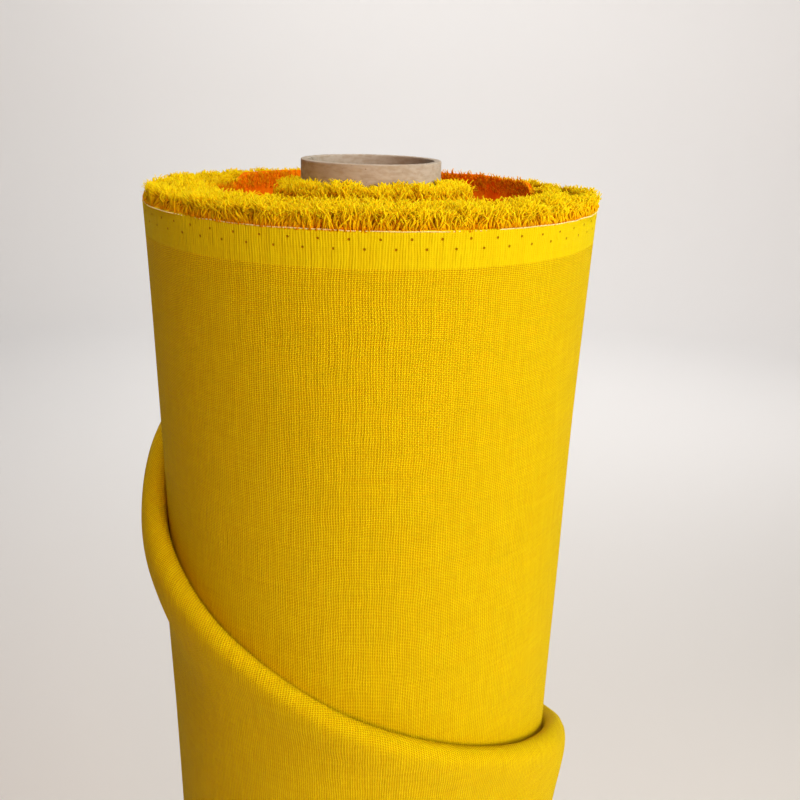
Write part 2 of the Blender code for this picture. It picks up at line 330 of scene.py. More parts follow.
def weave_relief(nodes, along, down, in_band):
    """Height of the weave from 0 in the gaps to about 1 on the yarns, and how thick the yarns are."""
    wander = nodes.noise(along, down, scale=70.0, detail=2.0)
    wander_up = nodes.noise(along, down, scale=70.0, detail=2.0, z=7.0)
    x = nodes.maths("MULTIPLY_ADD", wander, YARN_WANDER, along)
    y = nodes.maths("MULTIPLY_ADD", wander_up, YARN_WANDER, down)
    weft = nodes.maths("DIVIDE", x, WEFT_PITCH)
    warp = nodes.maths("DIVIDE", y, WARP_PITCH)
    weft_number = nodes.maths("ROUND", weft)
    warp_number = nodes.maths("ROUND", warp)
    weft_slub = nodes.noise(nodes.times(weft_number, 7.31), nodes.times(down, 60.0))
    warp_slub = nodes.noise(nodes.times(warp_number, 5.77), nodes.times(along, 45.0), z=3.0)
    weft_turn = nodes.maths("COSINE", nodes.times(weft, math.pi))
    warp_turn = nodes.maths("COSINE", nodes.times(warp, math.pi))
    weft_round = nodes.times(weft_turn, weft_turn)
    warp_round = nodes.times(warp_turn, warp_turn)
    crossing = nodes.times(weft_turn, warp_turn)
    ribbed = nodes.times(in_band, 0.45)
    over = nodes.maths("MULTIPLY_ADD", crossing, nodes.minus(1.0, in_band), ribbed)
    weft_lift = nodes.times(weft_round, nodes.maths("MULTIPLY_ADD", over, 0.50, 0.50))
    warp_lift = nodes.times(warp_round, nodes.maths("MULTIPLY_ADD", over, -0.42, 0.56))
    weft_thick = nodes.times(weft_lift, nodes.fade(weft_slub, 0.30, 0.74, 0.76, 1.30))
    warp_thick = nodes.times(warp_lift, nodes.fade(warp_slub, 0.30, 0.72, 0.72, 1.25))
    relief = nodes.maths("MAXIMUM", weft_thick, warp_thick)
    up_streaks = nodes.noise(nodes.times(along, 420.0), nodes.times(down, 45.0), z=11.0)
    up_knots = nodes.noise(nodes.times(along, 560.0), nodes.times(down, 170.0), z=13.0)
    round_streaks = nodes.noise(nodes.times(along, 30.0), nodes.times(down, 480.0), z=17.0)
    streaks = nodes.plus(nodes.times(up_streaks, 0.45), nodes.times(up_knots, 0.30))
    slubs = nodes.maths("MULTIPLY_ADD", round_streaks, 0.25, streaks)
    return relief, slubs


def pin_holes(nodes, along, edge):
    """1 inside the stenter's pin holes and 0 elsewhere."""
    found = None
    for inset, shift in PIN_ROWS:
        steps = nodes.plus(nodes.maths("DIVIDE", along, PIN_PITCH), shift)
        sideways = nodes.minus(nodes.maths("FRACT", steps), 0.5)
        across = nodes.times(sideways, PIN_PITCH)
        upward = nodes.minus(edge, inset)
        away = nodes.maths("SQRT", nodes.plus(nodes.times(across, across),
                                               nodes.times(upward, upward)))
        hole = nodes.fade(away, PIN_HOLE * 0.7, PIN_HOLE * 1.5, 1.0, 0.0)
        found = hole if found is None else nodes.maths("MAXIMUM", found, hole)
    return found


def linen_material(name, top, side, gap_shade, band, pins):
    """Woven linen: the colour of a yarn's top, painted shade for its sides and the gaps, the band's colour,
    and pins 1 or 0.
    """
    nodes = Nodes(name, roughness=0.85, sheen=0.04, sheen_colour=LINEN_TINT, specular=0.10)
    along, down = nodes.measured()
    edge = nodes.maths("MINIMUM", down, nodes.minus(cloth_width, down))
    in_band = nodes.fade(edge, SELVEDGE_BAND, SELVEDGE_BAND - 0.0008)
    relief, slubs = weave_relief(nodes, along, down, in_band)
    holes = nodes.times(pin_holes(nodes, along, edge), pins)
    # Painted shade: darker and redder where the weave's relief is low, on the yarns' sides and in the gaps.
    low = nodes.mix(nodes.fade(relief, 0.12, 0.40), gap_shade, side)
    yarn = nodes.mix(nodes.fade(relief, 0.46, 0.85), low, top)
    packed = nodes.mix(nodes.times(in_band, 0.85), yarn, band)
    # Darker streaks where the slub noise is low, mixed towards the painted gap shade.
    streaked = nodes.mix(nodes.fade(slubs, 0.60, 0.40, 0.0, 0.14), packed, gap_shade)
    # Painted shade in the pin holes.
    pricked = nodes.mix(nodes.times(holes, 0.9), streaked, PIN_HOLE_SHADE)
    flattened = nodes.times(relief, nodes.maths("MULTIPLY_ADD", in_band, -0.55, 1.0))
    uneven = nodes.maths("MULTIPLY_ADD", slubs, SLUB_HEIGHT, flattened)
    nodes.bump(nodes.minus(uneven, nodes.times(holes, PIN_DEPTH)), WEAVE_DEPTH)
    return nodes.colour(pricked)


turns_low, turns_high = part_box("outer_turns")
_, inner_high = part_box("inner_turns")
_, middle_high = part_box("middle_turns")
top_selvedge = turns_high.z
bottom_selvedge = turns_low.z
cloth_width = top_selvedge - bottom_selvedge


def ripples(turn, height, seed, round_counts, heights_per_wave):
    """Soft uneven waves between about -1 and 1 that meet themselves after a whole turn."""
    rng = np.random.default_rng(seed)
    total = 0
    for _ in range(RIPPLE_WAVES):
        waves = rng.integers(round_counts[0], round_counts[1] + 1)
        climb = 2 * math.pi / rng.uniform(*heights_per_wave) * rng.choice([-1, 1])
        total = total + np.sin(waves * turn + climb * height + rng.uniform(0, 2 * math.pi))
    return total / math.sqrt(RIPPLE_WAVES) * 0.8


def eased(share):
    share = np.clip(share, 0, 1)
    return share * share * (3 - 2 * share)


def within(turn, start_and_end, ease=0.14):
    """1 between two directions round the roll, 0 outside them, eased at both."""
    start, end = start_and_end
    from_middle = np.abs((turn - (start + end) / 2 + math.pi) % (2 * math.pi) - math.pi)
    return eased(((end - start) / 2 - from_middle) / ease)


def roll_radius(height):
    from_top = np.maximum(top_selvedge - height, 0)
    from_bottom = np.maximum(height - bottom_selvedge, 0)
    flare = np.exp(-from_top / END_FLARE_REACH) + np.exp(-from_bottom / END_FLARE_REACH)
    return ROLL_RADIUS + END_FLARE * flare


def swayed(places):
    """Moves places near the top of the roll the way its top leans."""
    share = np.exp(-np.maximum(top_selvedge - places[..., 2], 0) / TOP_SWAY_REACH)
    places[..., 0] += TOP_SWAY.x * share
    places[..., 1] += TOP_SWAY.y * share
    return places


def hollow_radius(turn):
    return middle_high.x + HOLLOW_SHIFT * np.cos(turn - HOLLOW_WIDEST)


def outer_turns_rise(turn, radius):
    """How far the outer turns' edges stand above or below the selvedge's usual height."""
    from_wall = radius - hollow_radius(turn)
    crept = within(turn, CREPT_FROM) * eased((CREPT_THICKNESS + 0.0006 - from_wall) / 0.0006)
    parted = within(turn, PARTED_FROM) * np.exp(-(((radius - PARTED_RADIUS) / PARTED_WIDTH) ** 4))
    return CREPT_RISE * crept - PARTED_DEPTH * parted


def level(turn, radius):
    return np.zeros_like(radius)


def ring_at(radius):
    """The same radius in every direction and at every height."""
    return lambda turn, height=0.0: np.full_like(turn, radius)


def turn_edges(inner, outer, height, direction, turn, rise):
    """Rows across the wound edges, from outer to inner: a ridge for each few turns, on a spiral."""
    steps = int(round(np.max(outer - inner) / TURN_PITCH * 4))
    rows = []
    for share in np.linspace(0, 1, steps + 1):
        radius = outer + (inner - outer) * share
        ridge = 0.5 + 0.5 * np.cos(2 * math.pi * radius / TURN_PITCH - turn)
        uneven = ripples(turn, radius * 40, 21, (2, 14), (0.2, 0.6))
        edge = height + direction * (RIDGE_HEIGHT * (ridge - 1) + RIDGE_UNEVEN * uneven)
        rows.append((radius, edge + rise(turn, radius)))
    return rows


def wound_turns(name, node, inner_radius, outer_radius, high, rows_up, materials, uneven, rise=level):
    """A closed ring of wound cloth: outside, top edges, bore and bottom edges."""
    turn = np.arange(ROLL_COLUMNS) * 2 * math.pi / ROLL_COLUMNS
    inner = inner_radius(turn)
    outside = []
    for height in np.linspace(bottom_selvedge, high, rows_up):
        radius = outer_radius(turn, height) + uneven * ripples(turn, height, 5, (2, 9), (0.10, 0.60))
        outside.append((radius, np.full_like(turn, height)))
    top = turn_edges(inner, outside[-1][0], high, 1, turn, rise)
    bottom = turn_edges(inner, outside[0][0], bottom_selvedge, -1, turn, level)[::-1]
    bore_height = top[-1][1] - bottom_selvedge
    bore = [(inner, bottom_selvedge + bore_height * share) for share in np.linspace(1, 0, 40)[1:-1]]
    profile = outside[:-1] + top + bore + bottom[:-1] + outside[:1]
    radii = np.array([radius for radius, _ in profile])
    heights = np.array([height for _, height in profile])
    piece_places = swayed(turned_places(radii, heights, ROLL_COLUMNS))
    round_once = np.arange(ROLL_COLUMNS + 1) / ROLL_COLUMNS * 2 * math.pi - math.pi
    arc = round_once * outside[rows_up // 2][0].mean()
    lengths = np.broadcast_to(arc, (len(profile), ROLL_COLUMNS + 1))
    down = np.broadcast_to((high - heights.mean(axis=1))[:, None], lengths.shape)
    piece = surface(name, piece_places, lengths, down)
    # Past the outside rows comes the last material: the copy of the linen with painted shade and glow.
    inside_from = (len(outside) + 2) * ROLL_COLUMNS
    for material in materials:
        piece.data.materials.append(material)
    which = np.zeros(len(piece.data.polygons), np.int32)
    which[inside_from:] = len(materials) - 1
    piece.data.polygons.foreach_set("material_index", which)
    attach(piece, BODY)
    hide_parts(node)
    return piece


linen = linen_material("yellow_linen", YARN_TOP, YARN_SIDE_SHADE, YARN_GAP_SHADE, BAND_COLOUR, 1.0)
# The hollow's copy of the linen has painted shade and glow; the inner and middle turns wear it all over.
shaded_linen = linen_material("linen_in_the_hollow", SHADED_TOP, SHADED_SIDE, SHADED_GAP, SHADED_SIDE, 0.0)
wound_turns("cloth_inner_turns", "inner_turns", ring_at(tube_radius + TUBE_GAP), ring_at(inner_high.x),
            high=inner_high.z, rows_up=40, materials=[shaded_linen], uneven=0.0002)
wound_turns("cloth_middle_turns", "middle_turns", ring_at(inner_high.x + RING_GAP),
            lambda turn, height: hollow_radius(turn) - RING_GAP,
            high=middle_high.z, rows_up=40, materials=[shaded_linen], uneven=0.0001)
wound_turns("cloth_outer_turns", "outer_turns", hollow_radius,
            lambda turn, height: np.full_like(turn, roll_radius(height)),
            high=top_selvedge, rows_up=242, materials=[linen, shaded_linen], uneven=0.00028,
            rise=outer_turns_rise)

# ---------------------------------------------------------------------------------------------
# Loose lap. The last lap of the same cloth, slipped from the roll. Its top corner is turned in and
# down along a slanting line, which leaves a soft rolled lip; below, it hangs round the roll to the
# floor, and its cut end lies a little past the place where it left the roll.

LAP_START = math.radians(36.0)
LAP_LEAD_IN = 0.040  # length that still lies tight, before the corner starts to fold
LAP_LENGTH = 0.670  # from where the fold starts to the cut end
FOLD_SLOPE = math.radians(26.5)
LAP_RADIUS = 0.096  # radius that lengths of the lap are measured on
LAP_THICKNESS = 0.0005
LAP_LEAVES = 0.0008  # how far the lap comes away from the roll over its lead-in
LAP_SLACK = 0.0007  # how much farther over the next stretch
LAP_SPIRAL = 0.0011  # and how much farther in each whole turn
LAP_TUCKED = 0.0003
LAP_WAVES = 0.0011
LAP_SMALL_WAVES = 0.00035
LIP_OPENS_OVER = 0.150
LIP_LEAST = 0.20
# The lip in section: stand-off from the roll and drop below the fold's foot, in millimetres,
# up from the flap that lies inside and over to the part that hangs outside.
LIP_FAT = ((0.7, 16), (0.8, 3), (2.2, -3.2), (5.4, -4.6), (8.9, -2.6), (10.7, 2.5), (10.8, 10),
           (8.5, 20.5), (4.9, 32), (2.3, 45), (1.6, 63), (1.1, 95))
LIP_TIGHT = ((0.7, 16), (0.8, 4), (1.9, -1.4), (4.4, -3.0), (6.9, -1.8), (8.2, 2.2), (7.3, 9),
             (5.3, 17), (3.6, 28), (2.5, 43), (1.7, 64), (1.1, 95))
LIP_PROUD = ((0.7, 16), (0.8, 1), (2.0, -3.8), (5.0, -5.2), (8.4, -3.2), (10.6, 1.5), (11.2, 8),
             (10.5, 17), (9.0, 30), (7.3, 46), (4.4, 68), (2.0, 95))
TIGHT_FROM = (0.280, 0.350)  # lengths over which the lip turns from fat to tight
PROUD_FROM = (0.440, 0.515)
CREST_FALL = 0.0032  # how far the lip's crest sinks towards the cut end
CREST_FALLS_FROM = (0.515, 0.560)
SAG = 0.0045  # the soft lip sinks under its own weight
SAG_LOST = 0.0030
SAG_LOST_FROM = (0.360, 0.520)


def smooth_line(points, steps):
    """A smooth line through points, with as many steps between each pair."""
    points = np.array(points, float)
    padded = np.concatenate([2 * points[:1] - points[1:2], points, 2 * points[-1:] - points[-2:-1]])
    line = []
    for a, b, c, d in zip(padded, padded[1:], padded[2:], padded[3:]):
        for t in np.arange(steps) / steps:
            line.append(0.5 * (2 * b + (c - a) * t + (2 * a - 5 * b + 4 * c - d) * t**2
                               + (3 * b - a - 3 * c + d) * t**3))
    line.append(points[-1])
    return np.array(line)


def fold_drop(length):
    """How far below the top selvedge the fold lies, at a length along the lap."""
    return np.maximum(length, 0) * math.tan(FOLD_SLOPE)


def between(length, start_and_end):
    start, end = start_and_end
    return eased((length - start) / (end - start))


def lip_line(points, opening, beyond):
    """Stand-off and drop at distances beyond the fold, square to it (negative: the part inside)."""
    section = smooth_line(points, 6) / 1000.0
    stand = section[-1, 0] + (section[:, 0] - section[-1, 0]) * opening
    near = section[:, 1] < 0.012
    drop = np.where(near, section[:, 1] * (0.35 + 0.65 * opening), section[:, 1])
    walked = np.concatenate([[0], np.cumsum(np.hypot(np.diff(stand), np.diff(drop)))])
    walked += drop[-1] - walked[-1]
    stands = np.interp(beyond, walked, stand)
    drops = np.interp(beyond, walked, drop)
    drops = np.where(beyond < walked[0], drop[0] + (walked[0] - beyond), drops)
    drops = np.where(beyond > walked[-1], beyond, drops)
    return np.stack([stands, drops])


def lip_shape(length, beyond):
    opening = LIP_LEAST + (1 - LIP_LEAST) * eased(length / LIP_OPENS_OVER)
    fat = lip_line(LIP_FAT, opening, beyond)
    tight = lip_line(LIP_TIGHT, opening, beyond)
    proud = lip_line(LIP_PROUD, opening, beyond)
    to_tight = between(length, TIGHT_FROM)
    to_proud = between(length, PROUD_FROM)
    stands, drops = (fat * (1 - to_tight) + tight * to_tight) * (1 - to_proud) + proud * to_proud
    sag = SAG * eased(length / LIP_OPENS_OVER) - SAG_LOST * between(length, SAG_LOST_FROM)
    near_fold = np.clip(1 - (drops - 0.02) / 0.12, 0, 1)
    crest_falls = CREST_FALL * between(length, CREST_FALLS_FROM) * np.clip(1 - drops / 0.020, 0, 1)
    return stands, drops + sag * near_fold + crest_falls


def lap_distances(length):
    """Distances down the cloth from its top selvedge: closest over the lip, widest at the hem."""
    drop = fold_drop(length)
    reach = np.concatenate([np.arange(0.0, 0.032, 0.0011), np.arange(0.032, 0.112, 0.0032)])
    before = np.concatenate([np.linspace(0, 1, 13)[:-1] * 0.45, np.linspace(0.45, 1, 33)[:-1]])
    after = reach[-1] + (cloth_width - drop - reach[-1]) * np.linspace(0, 1, 76)[1:]
    return np.concatenate([drop * before, drop + reach, drop + after])


def lap_outward(length, arc, beyond, turn, height):
    """How far the lap lies outside the roll, apart from its lip: waving more the lower it hangs."""
    leaving = eased((arc + LAP_LEAD_IN) / LAP_LEAD_IN)
    outward = -LAP_THICKNESS + LAP_LEAVES * leaving + LAP_SLACK * eased(arc / 0.08)
    outward = outward + LAP_SPIRAL * np.maximum(arc, 0) / (2 * math.pi * LAP_RADIUS)
    tucked = np.where(beyond < 0, -LAP_TUCKED * eased(-beyond / 0.01), 0.0) * (length > 0)
    loose = eased((top_selvedge - height - 0.05) / 1.2) * eased(arc / 0.10)
    wave = LAP_WAVES * loose * (1 + ripples(turn, height, 31, (2, 7), (0.5, 1.6)))
    wave = wave + LAP_SMALL_WAVES * eased(arc / 0.05) * ripples(turn, height, 33, (3, 11), (0.08, 0.30))
    return outward + tucked + wave


def make_lap():
    lengths = np.concatenate([np.linspace(-LAP_LEAD_IN, 0, 13)[:-1], np.linspace(0, LAP_LENGTH, 201)])
    places = []
    downs = []
    for length in lengths:
        down = lap_distances(length)
        beyond = (down - fold_drop(length)) * math.cos(FOLD_SLOPE)
        stand, drop = lip_shape(max(length, 0), beyond)
        along_fold = length * math.cos(FOLD_SLOPE) + down * math.sin(FOLD_SLOPE)
        arc = along_fold * math.cos(FOLD_SLOPE) - drop * math.sin(FOLD_SLOPE)
        depth = along_fold * math.sin(FOLD_SLOPE) + drop * math.cos(FOLD_SLOPE)
        stand = stand - LIP_FAT[-1][0] / 1000.0
        if length <= 0:
            stand, arc, depth = np.zeros_like(down), np.full_like(down, length), down
        turn = LAP_START + arc / LAP_RADIUS
        height = top_selvedge - depth
        radius = roll_radius(height) + lap_outward(length, arc, beyond, turn, height) + stand
        places.append(np.stack([radius * np.cos(turn), radius * np.sin(turn), height], axis=-1))
        downs.append(down)
    places = swayed(np.array(places).transpose(1, 0, 2))
    downs = np.array(downs).T
    arcs = np.broadcast_to(lengths + (LAP_START - math.pi) * LAP_RADIUS, downs.shape)
    lap = surface("cloth_loose_lap", places, arcs, downs, closed=False)
    lap.data.materials.append(linen)
    thick = lap.modifiers.new("cloth_thickness", "SOLIDIFY")
    thick.thickness = LAP_THICKNESS
    thick.offset = -1.0
    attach(lap, BODY)
    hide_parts("loose_lap", "tucked_corner")
    return lap, places


lap, lap_places = make_lap()

# ---------------------------------------------------------------------------------------------
# Fringe. Beyond each selvedge the weft yarns are cut off a finger's width out. On top they stand
# in fluffy, tangled locks, one turn's behind another's; at the foot the roll's weight has crushed
# them flat and outward.

ROW_PITCH = 0.00115
YARN_END_RADIUS = 0.00043
YARN_TWIST = 0.9
CRUSHED = 0.85  # how thin the ends at the foot are, as a share of those on top
LOCK_SIZE = 0.0032
LOCK_PULL = 0.62
TIP_RISE_BACK = 0.62  # how tall the ends stand at the back, as a share of those at the front
INWARD_LEAN = 0.72
OUTER_ENDS = (0.0066, 0.0096)  # shortest and longest ends of each kind
MIDDLE_ENDS = (0.0050, 0.0080)
INNER_ENDS = (0.0082, 0.0106)
WALL_ENDS = (0.0018, 0.0034)
FOOT_ENDS = (0.0038, 0.0052)
HEM_ENDS = (0.0046, 0.0072)
WALL_ENDS_COUNT = 3400
WORN_FROM = (math.radians(12), math.radians(100))  # where the ends along the hollow are worn short
# Painted shade: the ends are coloured deep orange at the foot, where the dense locks shade each other, and
# turn yellow towards the tips.
FRINGE_FOOT_SHADE = (0.88, 0.200, 0.001)
FRINGE_BODY = (0.94, 0.490, 0.002)
FRINGE_TIP = (0.96, 0.660, 0.004)
FRINGE_DARK = (0.93, 0.420, 0.002)
# Painted shade and painted glow: the ends in the hollow and on its wall are coloured deep orange-red for the
# shade there and the light that passes through them.
HOLLOW_SHADE_FOOT = (0.86, 0.170, 0.001)
HOLLOW_SHADE_BODY = (0.92, 0.250, 0.002)
HOLLOW_SHADE_TIP = (0.93, 0.360, 0.003)
GLOW_REACH = (0.0030, 0.0016, 0.0002)  # how far red, green and blue light pass through the ends
GLOW_SHARE = 0.5


def fringe_material(name, foot, body, tip, dark):
    nodes = Nodes(name, roughness=0.88, sheen=0.05, sheen_colour=LINEN_TINT, specular=0.08)
    nodes.shader.inputs["Subsurface Weight"].default_value = GLOW_SHARE
    nodes.shader.inputs["Subsurface Radius"].default_value = GLOW_REACH
    nodes.shader.inputs["Subsurface Scale"].default_value = 1.0
    tint, along = nodes.measured()
    # Painted shade, deepest at the foot of each end.
    lower = nodes.mix(nodes.fade(along, 0.0, 0.40), foot, body)
    whole = nodes.mix(nodes.fade(along, 0.35, 0.9), lower, tip)
    fibres = nodes.noise(nodes.times(tint, 97.0), nodes.times(along, 5.0), scale=3.0)
    return nodes.colour(nodes.mix(nodes.fade(fibres, 0.45, 0.70, 0.0, 0.65), whole, dark))


def flow(x, y, seed, reach):
    """A smooth field of leanings across the roll's end: neighbours lean alike."""
    rng = np.random.default_rng(seed)
    total = np.zeros((len(x), 2))
    for _ in range(24):
        angle = rng.uniform(0, 2 * math.pi)
        wave = 2 * math.pi / (reach * rng.uniform(0.5, 1.8))
        phase = wave * (x * math.cos(angle) + y * math.sin(angle)) + rng.uniform(0, 2 * math.pi)
        total += np.stack([np.sin(phase), np.cos(phase * 1.13 + 1.7)], axis=-1) * rng.uniform(0.5, 1)
    return total / 4.0


def locks(x, y, seed):
    """Yarn ends cling in locks: the place of each end's lock, and a random number pair for it."""
    rng = np.random.default_rng(seed)
    cells = int(0.24 / LOCK_SIZE)
    middles = rng.uniform(0.1, 0.9, (cells, cells, 2))
    numbers = rng.uniform(0, 1, (cells, cells, 2))
    column = np.floor(x / LOCK_SIZE).astype(int) + cells // 2
    row = np.floor(y / LOCK_SIZE).astype(int) + cells // 2
    best = np.full(len(x), np.inf)
    place = np.zeros((len(x), 2))
    number = np.zeros((len(x), 2))
    for right in (-1, 0, 1):
        for up in (-1, 0, 1):
            cell = (row + up, column + right)
            middle = (np.stack([cell[1], cell[0]], axis=-1) - cells // 2 + middles[cell]) * LOCK_SIZE
            away = np.hypot(middle[:, 0] - x, middle[:, 1] - y)
            nearer = away < best
            best = np.where(nearer, away, best)
            place[nearer] = middle[nearer]
            number[nearer] = numbers[cell][nearer]
    return place, number


def yarn_ends(name, material, feet, rise, lean, lengths, radii, curl, steps, seed):
    """One piece of tapering yarn ends that start at feet along rise, and bend over towards lean."""
    rng = np.random.default_rng(seed)
    count = len(feet)
    t = np.linspace(0, 1, steps + 1)
    rise = rise / np.linalg.norm(rise, axis=1, keepdims=True)
    helper = np.where(np.abs(rise[:, 2:3]) > 0.8, [[1.0, 0, 0]], [[0, 0, 1.0]])
    side = np.cross(rise, helper)
    side /= np.linalg.norm(side, axis=1, keepdims=True)
    front = np.cross(rise, side)
    bend = lean[:, None, :] * (t**1.4)[None, :, None]
    sag = 1 - 0.32 * np.minimum(np.linalg.norm(lean, axis=1), 1.3)[:, None] ** 2 * t[None, :] ** 2
    phase = rng.uniform(0, 2 * math.pi, (count, 2))
    turns = rng.uniform(0.5, 1.2, (count, 1)) * 2 * math.pi
    swing = curl[:, None] * t[None, :]
    sway = side[:, None, :] * (swing * np.sin(turns * t + phase[:, :1]))[..., None]
    sway = sway + front[:, None, :] * (swing * np.sin(turns * t + phase[:, 1:]))[..., None]
    path = rise[:, None, :] * (t * sag)[..., None] + bend + sway
    centre = feet[:, None, :] + lengths[:, None, None] * path
    width = radii[:, None] * (1 - 0.5 * t**3)[None, :]
    corners = (np.arange(3) * 2 * math.pi / 3)[None, None, :]
    spin = rng.uniform(0, 2 * math.pi, (count, 1, 1)) + corners + YARN_TWIST * t[None, :, None]
    spoke = side[:, None, None, :] * np.cos(spin)[..., None]
    spoke = spoke + front[:, None, None, :] * np.sin(spin)[..., None]
    rings = centre[:, :, None, :] + width[:, :, None, None] * spoke
    points = (steps + 1) * 3
    step, corner = np.meshgrid(np.arange(steps), np.arange(3), indexing="ij")
    following = (corner + 1) % 3
    quads = np.stack([step * 3 + corner, step * 3 + following, (step + 1) * 3 + following,
                      (step + 1) * 3 + corner], axis=-1).reshape(-1, 4)
    first = (np.arange(count) * points)[:, None, None]
    caps = np.array([[2, 1, 0], [points - 3, points - 2, points - 1]])
    quads_all = (first + quads[None]).reshape(-1, 4)
    caps_all = (first + caps[None]).reshape(-1, 3)
    mesh = bpy.data.meshes.new(name)
    mesh.from_pydata(rings.reshape(-1, 3).tolist(), [], quads_all.tolist() + caps_all.tolist())
    map_ends(mesh, quads_all, caps_all, points, t, rng.uniform(0.02, 0.98, count))
    mesh.shade_smooth()
    mesh.materials.append(material)
    piece = bpy.data.objects.new(name, mesh)
    bpy.context.scene.collection.objects.link(piece)
    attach(piece, BODY)
    return piece


def map_ends(mesh, quads, caps, points, t, tint):
    """Two maps: a shade and a share of the length for colouring, and a patch for each yarn end."""
    count = len(tint)
    corners = np.concatenate([quads.reshape(-1), caps.reshape(-1)])
    owner = corners // points
    along = t[(corners % points) // 3]
    shades = np.stack([tint[owner], along], axis=-1)
    layer = mesh.uv_layers.new(name="measured")
    layer.uv.foreach_set("vector", shades.astype(np.float32).reshape(-1))
    across = int(math.ceil(math.sqrt(count)))
    face_side = np.tile(np.arange(3), len(quads) // 3)
    left = np.repeat(face_side, 4) + np.tile([0, 1, 1, 0], len(quads))
    cap_left = np.tile([[0.02, 0.5, 0.98], [2.02, 2.5, 2.98]], (count, 1)).reshape(-1)
    cap_up = np.tile([[0.90, 0.99, 0.90], [0.90, 0.99, 0.90]], (count, 1)).reshape(-1)
    u = np.concatenate([left, cap_left]) / 3
    v = np.concatenate([along[:quads.size] * 0.88, cap_up])
    patch_u = (owner % across + 0.02 + 0.96 * u) / across
    patch_v = (owner // across + 0.02 + 0.96 * v) / across
    patch = np.stack([patch_u, patch_v], axis=-1)
    baked = mesh.uv_layers.new(name="OFBake")
    baked.uv.foreach_set("vector", patch.astype(np.float32).reshape(-1))


def feet_in_ring(inner, outer, row_pitch, end_pitch, rng):
    """Where weft yarns leave a ring of wound turns: x, y, direction and the turn, from outside."""
    places = []
    everywhere = np.linspace(0, 2 * math.pi, 181)
    for row, radius in enumerate(np.arange(outer, np.min(inner(everywhere)), -row_pitch)):
        count = int(2 * math.pi * radius / end_pitch)
        turn = (np.arange(count) + rng.uniform(-0.3, 0.3, count)) / count * 2 * math.pi
        away = radius + rng.normal(0, row_pitch * 0.20, count) * (row > 0)
        kept = away > inner(turn) + 0.0003
        found = np.stack([away * np.cos(turn), away * np.sin(turn), turn, np.full(count, row)], axis=-1)
        places.append(found[kept])
    return np.concatenate(places)


def flat_lean(lean_xy):
    """A sideways lean as places in space, and straight up to go with it."""
    count = len(lean_xy)
    return np.concatenate([lean_xy, np.zeros((count, 1))], axis=1), np.tile([[0.0, 0.0, 1.0]], (count, 1))


def top_fringe(name, feet, height, rise, strands, steps, material, length, lean, seed, tubeward=0.0):
    """Locks of cut weft ends on a ring of turns. lean is how far the locks lie over."""
    rng = np.random.default_rng(seed)
    feet = np.repeat(feet, strands, axis=0)
    count = len(feet)
    x, y, turn, row = feet.T
    away = np.hypot(x, y)
    outward = np.stack([np.cos(turn), np.sin(turn)], axis=-1)
    # The outermost ends lean in over the roll: less along the front, more at the left.
    outermost = np.exp(-row / 2.5)
    at_side = 1 - 0.75 * within(turn, (-math.pi * 0.80, -math.pi * 0.20), 0.6)
    at_side += 0.7 * within(turn, (-math.pi * 1.15, -math.pi * 0.86), 0.3)
    at_side *= 1 - 0.15 * within(turn, PARTED_FROM)
    lengths = rng.uniform(*length, count) * (1 - 0.12 * outermost)
    lengths *= (1 + TIP_RISE_BACK) / 2 - (1 - TIP_RISE_BACK) / 2 * np.sin(turn)
    # They are shorter along the hollow's wall and beside the parted turns.
    worn = within(turn, WORN_FROM, 0.4)
    at_wall = np.exp(-np.abs(away - hollow_radius(turn)) / (0.0035 + 0.0060 * worn))
    at_parting = within(turn, PARTED_FROM) * np.exp(-(((away - PARTED_RADIUS) / 0.0048) ** 2))
    lengths *= (1 - (0.5 + 0.22 * worn) * at_wall) * (1 - 0.6 * at_parting)
    lengths *= 1 + 0.16 * np.clip(flow(x, y, 73, 0.013)[:, 0], -1, 1)
    place, number = locks(x, y, 71)
    way = number[:, 0] * 2 * math.pi
    lock_lean = np.stack([np.cos(way), np.sin(way)], axis=-1) * (lean * (0.25 + number[:, 1]))[:, None]
    together = (place - feet[:, :2]) / lengths[:, None] * LOCK_PULL
    lean_xy = (lock_lean + together) * (1 - 0.55 * outermost)[:, None] + rng.normal(0, 0.26, (count, 2))
    lean_xy -= outward * tubeward
    lean_xy -= outward * (INWARD_LEAN * outermost * at_side - 0.45 * at_wall)[:, None]
    # None lean out past the roll's edge, or in through the tube.
    at_left = within(turn, (-math.pi * 1.16, -math.pi * 0.84), 0.25)
    furthest = roll_radius(top_selvedge) + 0.0002 - 0.0030 * at_left
    out = np.sum(lean_xy * outward, axis=1)
    lean_xy -= outward * np.maximum(out - (furthest - away) / lengths, 0)[:, None]
    nearest = tube_radius + 0.0006
    out = np.sum(lean_xy * outward, axis=1)
    lean_xy += outward * np.maximum((nearest - away) / lengths - out, 0)[:, None]
    bases = np.stack([x + rng.normal(0, 0.00014, count), y + rng.normal(0, 0.00014, count),
                      height + rise(turn, away) - 0.0008], axis=-1)
    leaning, upright = flat_lean(lean_xy)
    radii = YARN_END_RADIUS * rng.uniform(0.7, 1.2, count)
    curl = rng.uniform(0.05, 0.28, count)
    return yarn_ends(name, material, swayed(bases), upright, leaning, lengths, radii, curl, steps, seed + 1)


fluff = fringe_material("weft_ends", FRINGE_FOOT_SHADE, FRINGE_BODY, FRINGE_TIP, FRINGE_DARK)
shaded_fluff = fringe_material("weft_ends_painted_shade_in_hollow", HOLLOW_SHADE_FOOT, HOLLOW_SHADE_BODY, HOLLOW_SHADE_TIP, HOLLOW_SHADE_FOOT)


